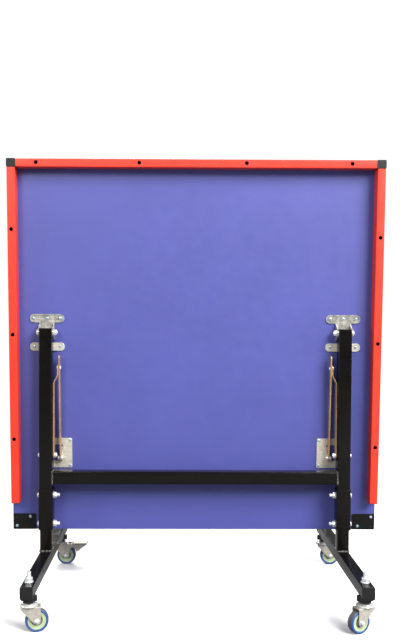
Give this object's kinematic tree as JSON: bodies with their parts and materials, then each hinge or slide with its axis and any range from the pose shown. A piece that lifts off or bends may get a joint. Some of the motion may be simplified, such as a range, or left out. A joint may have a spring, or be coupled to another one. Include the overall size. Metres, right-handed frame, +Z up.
{
  "type": "folding ping pong table half",
  "caption": "Rolling half of a two-piece table tennis table, folded upright: blue top with red rails hinged on a black T-foot frame with folding stays and locking casters.",
  "frame": {"origin": "on the floor, midway between the posts, at the centre of the overall box", "axes": "+Z up, +X across the table's width, +Y from the frame side to the playing side"},
  "size_m": [1.016, 0.6, 1.1858],
  "materials": {
    "panel_underside": "satin blue paint on board",
    "rail_paint": "satin orange-red powder coat",
    "black_plastic": "matte moulded",
    "knob_plastic": "moulded, slightly glossy",
    "black_plate": "satin black",
    "frame_paint": "gloss black enamel",
    "zinc": "zinc plated, mottled",
    "yellow_zinc": "yellow zinc plated",
    "bright_bolt": "bright zinc",
    "wheel_tyre": "matte tyre on a moulded disc"
  },
  "bodies": {
    "frame": {"post_left": "frame_paint", "post_cap_left": "black_plastic", "leg_sleeve_left": "frame_paint", "foot_beam_left": "frame_paint", "beam_end_cap_front_left": "black_plastic", "beam_end_cap_rear_left": "black_plastic", "pivot_bolt_left": "bright_bolt", "stay_bolt_left": "bright_bolt", "sleeve_bolt_upper_left": "bright_bolt", "sleeve_bolt_lower_left": "bright_bolt", "post_right": "frame_paint", "post_cap_right": "black_plastic", "leg_sleeve_right": "frame_paint", "foot_beam_right": "frame_paint", "beam_end_cap_front_right": "black_plastic", "beam_end_cap_rear_right": "black_plastic", "pivot_bolt_right": "bright_bolt", "stay_bolt_right": "bright_bolt", "sleeve_bolt_upper_right": "bright_bolt", "sleeve_bolt_lower_right": "bright_bolt", "crossbar": "frame_paint", "caster_stem_front_left": "bright_bolt", "caster_stem_front_right": "bright_bolt", "caster_stem_rear_left": "bright_bolt", "caster_stem_rear_right": "bright_bolt"},
    "tabletop": {"table_panel": "panel_underside", "end_rail": "rail_paint", "side_rail_left": "rail_paint", "corner_cap_left": "black_plastic", "net_corner_plate_left": "black_plate", "hinge_bracket_left": "zinc", "rest_saddle_left": "zinc", "stay_plate_left": "zinc", "side_rail_right": "rail_paint", "corner_cap_right": "black_plastic", "net_corner_plate_right": "black_plate", "hinge_bracket_right": "zinc", "rest_saddle_right": "zinc", "stay_plate_right": "zinc"},
    "stay_lower_left": {"stay_lower_link_left": "yellow_zinc"},
    "stay_upper_left": {"stay_upper_link_left": "yellow_zinc"},
    "stay_lower_right": {"stay_lower_link_right": "yellow_zinc"},
    "stay_upper_right": {"stay_upper_link_right": "yellow_zinc"},
    "star_nut_front_left": {"star_nut_front_left": "knob_plastic"},
    "caster_front_left": {"caster_fork_front_left": "zinc", "caster_axle_front_left": "bright_bolt"},
    "wheel_front_left": {"caster_wheel_front_left": "wheel_tyre"},
    "star_nut_front_right": {"star_nut_front_right": "knob_plastic"},
    "caster_front_right": {"caster_fork_front_right": "zinc", "caster_axle_front_right": "bright_bolt"},
    "wheel_front_right": {"caster_wheel_front_right": "wheel_tyre"},
    "star_nut_rear_left": {"star_nut_rear_left": "knob_plastic"},
    "caster_rear_left": {"caster_fork_rear_left": "zinc", "caster_axle_rear_left": "bright_bolt"},
    "wheel_rear_left": {"caster_wheel_rear_left": "wheel_tyre"},
    "brake": {"brake_pedal": "zinc"},
    "star_nut_rear_right": {"star_nut_rear_right": "knob_plastic"},
    "caster_rear_right": {"caster_fork_rear_right": "zinc", "caster_axle_rear_right": "bright_bolt"},
    "wheel_rear_right": {"caster_wheel_rear_right": "wheel_tyre"}
  },
  "joints": [
    {"name": "tabletop_fold", "type": "hinge", "parent": "frame", "child": "tabletop", "pos_m": [0, 0, 0.72], "axis": [1, 0, 0], "range_deg": [0, 87.34]},
    {"name": "stay_lower_turn_left", "type": "hinge", "parent": "frame", "child": "stay_lower_left", "pos_m": [-0.3865, 0, 0.384], "axis": [1, 0, 0], "range_deg": [-42.04, 0.05]},
    {"name": "stay_upper_turn_left", "type": "hinge", "parent": "tabletop", "child": "stay_upper_left", "pos_m": [-0.3715, 0.02519, 0.37179], "axis": [1, 0, 0], "range_deg": [-0.05, 40.66]},
    {"name": "stay_lower_turn_right", "type": "hinge", "parent": "frame", "child": "stay_lower_right", "pos_m": [0.3865, 0, 0.384], "axis": [1, 0, 0], "range_deg": [-42.04, 0.05]},
    {"name": "stay_upper_turn_right", "type": "hinge", "parent": "tabletop", "child": "stay_upper_right", "pos_m": [0.3715, 0.02519, 0.37179], "axis": [1, 0, 0], "range_deg": [-0.05, 40.66]},
    {"name": "star_nut_turn_front_left", "type": "hinge", "parent": "frame", "child": "star_nut_front_left", "pos_m": [-0.407, -0.262, 0.08], "axis": [0, 0, 1], "continuous": true},
    {"name": "caster_swivel_front_left", "type": "hinge", "parent": "frame", "child": "caster_front_left", "pos_m": [-0.407, -0.262, 0.067], "axis": [0, 0, 1], "continuous": true},
    {"name": "wheel_spin_front_left", "type": "hinge", "parent": "caster_front_left", "child": "wheel_front_left", "pos_m": [-0.38878, -0.25879, 0.02832], "axis": [-0.1736, 0.9848, 0], "continuous": true},
    {"name": "star_nut_turn_front_right", "type": "hinge", "parent": "frame", "child": "star_nut_front_right", "pos_m": [0.407, -0.262, 0.08], "axis": [0, 0, 1], "continuous": true},
    {"name": "caster_swivel_front_right", "type": "hinge", "parent": "frame", "child": "caster_front_right", "pos_m": [0.407, -0.262, 0.067], "axis": [0, 0, 1], "continuous": true},
    {"name": "wheel_spin_front_right", "type": "hinge", "parent": "caster_front_right", "child": "wheel_front_right", "pos_m": [0.39052, -0.2704, 0.02832], "axis": [0.454, -0.891, 0], "continuous": true},
    {"name": "star_nut_turn_rear_left", "type": "hinge", "parent": "frame", "child": "star_nut_rear_left", "pos_m": [-0.407, 0.262, 0.08], "axis": [0, 0, 1], "continuous": true},
    {"name": "caster_swivel_rear_left", "type": "hinge", "parent": "frame", "child": "caster_rear_left", "pos_m": [-0.407, 0.262, 0.067], "axis": [0, 0, 1], "continuous": true},
    {"name": "wheel_spin_rear_left", "type": "hinge", "parent": "caster_rear_left", "child": "wheel_rear_left", "pos_m": [-0.3885, 0.262, 0.02832], "axis": [0, 1, 0], "continuous": true},
    {"name": "brake_press", "type": "hinge", "parent": "caster_rear_left", "child": "brake", "pos_m": [-0.373, 0.262, 0.0595], "axis": [0, 1, 0], "range_deg": [0, 10]},
    {"name": "star_nut_turn_rear_right", "type": "hinge", "parent": "frame", "child": "star_nut_rear_right", "pos_m": [0.407, 0.262, 0.08], "axis": [0, 0, 1], "continuous": true},
    {"name": "caster_swivel_rear_right", "type": "hinge", "parent": "frame", "child": "caster_rear_right", "pos_m": [0.407, 0.262, 0.067], "axis": [0, 0, 1], "continuous": true},
    {"name": "wheel_spin_rear_right", "type": "hinge", "parent": "caster_rear_right", "child": "wheel_rear_right", "pos_m": [0.4255, 0.262, 0.02832], "axis": [0, 1, 0], "continuous": true}
  ],
  "couplings": [
    {"joint": "stay_lower_turn_left", "follows": "tabletop_fold", "ratio": -0.48076},
    {"joint": "stay_upper_turn_left", "follows": "tabletop_fold", "ratio": 0.465},
    {"joint": "stay_lower_turn_right", "follows": "tabletop_fold", "ratio": -0.48076},
    {"joint": "stay_upper_turn_right", "follows": "tabletop_fold", "ratio": 0.465}
  ]
}
